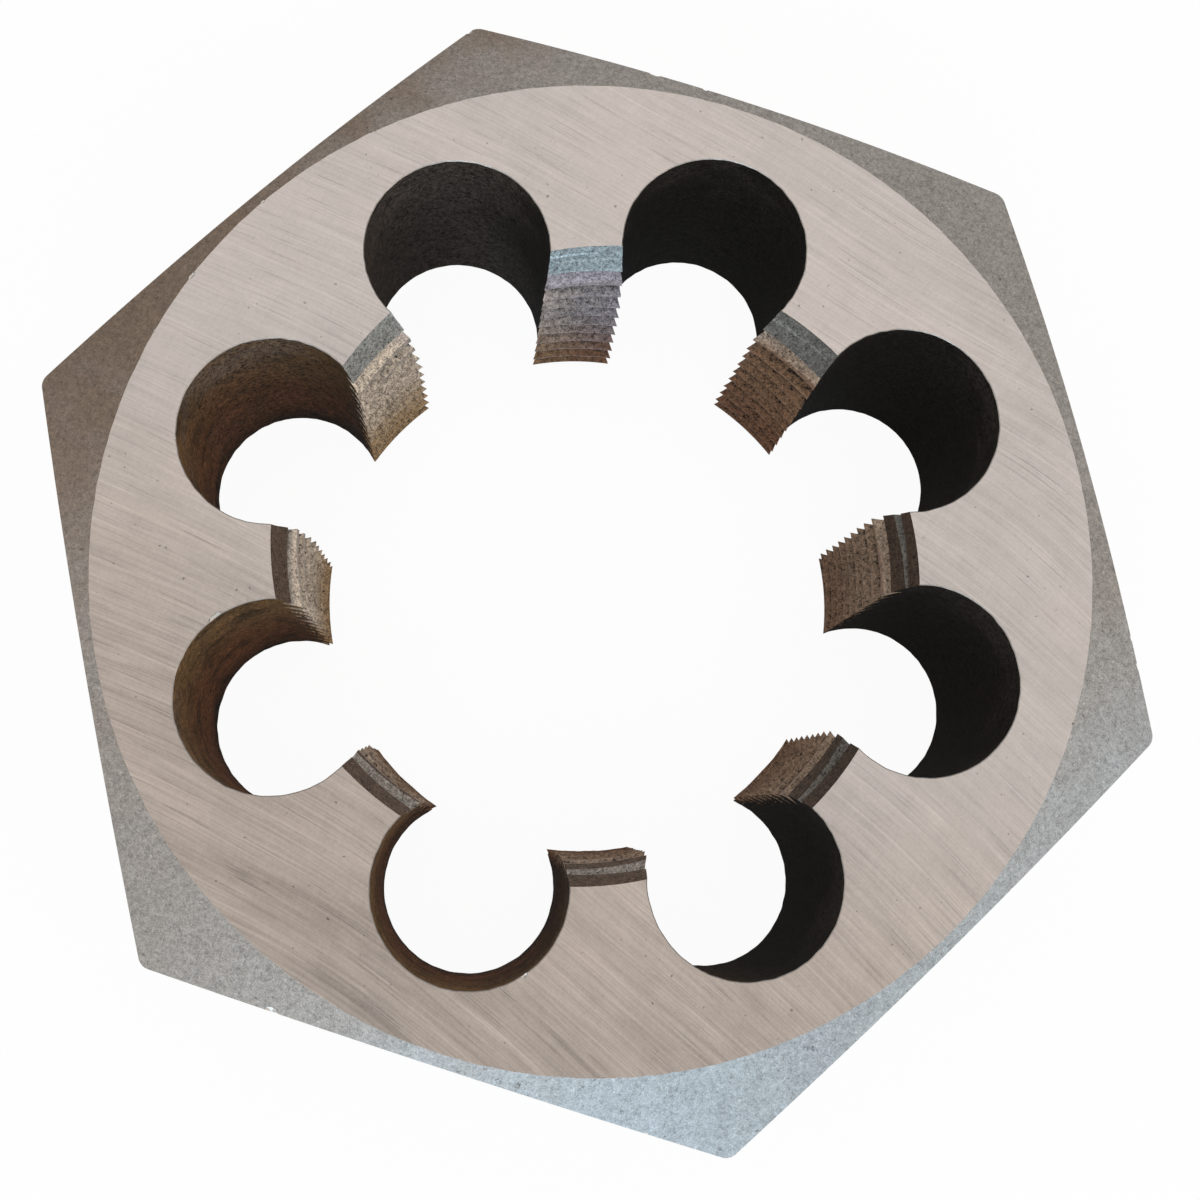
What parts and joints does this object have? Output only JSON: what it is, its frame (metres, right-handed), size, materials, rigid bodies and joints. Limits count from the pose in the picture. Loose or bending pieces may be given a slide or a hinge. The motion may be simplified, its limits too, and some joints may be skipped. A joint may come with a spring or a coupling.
{
  "type": "hex pipe die",
  "caption": "Thick hexagon steel die with a taper-threaded bore ringed by chip holes that leave toothed cutting lands between them.",
  "frame": {"origin": "centre of the exit face, on the axis of the bore", "axes": "+Z along the bore towards the entry face, +X through a corner of the hexagon, +Y out of a flat"},
  "size_m": [0.0914, 0.0794, 0.0254],
  "materials": {
    "tool_steel": "ground faces, blasted chamfers and flats, brown heat-treatment scale in the chip holes"
  },
  "bodies": {
    "root": {"hex_die": "tool_steel"}
  },
  "joints": []
}
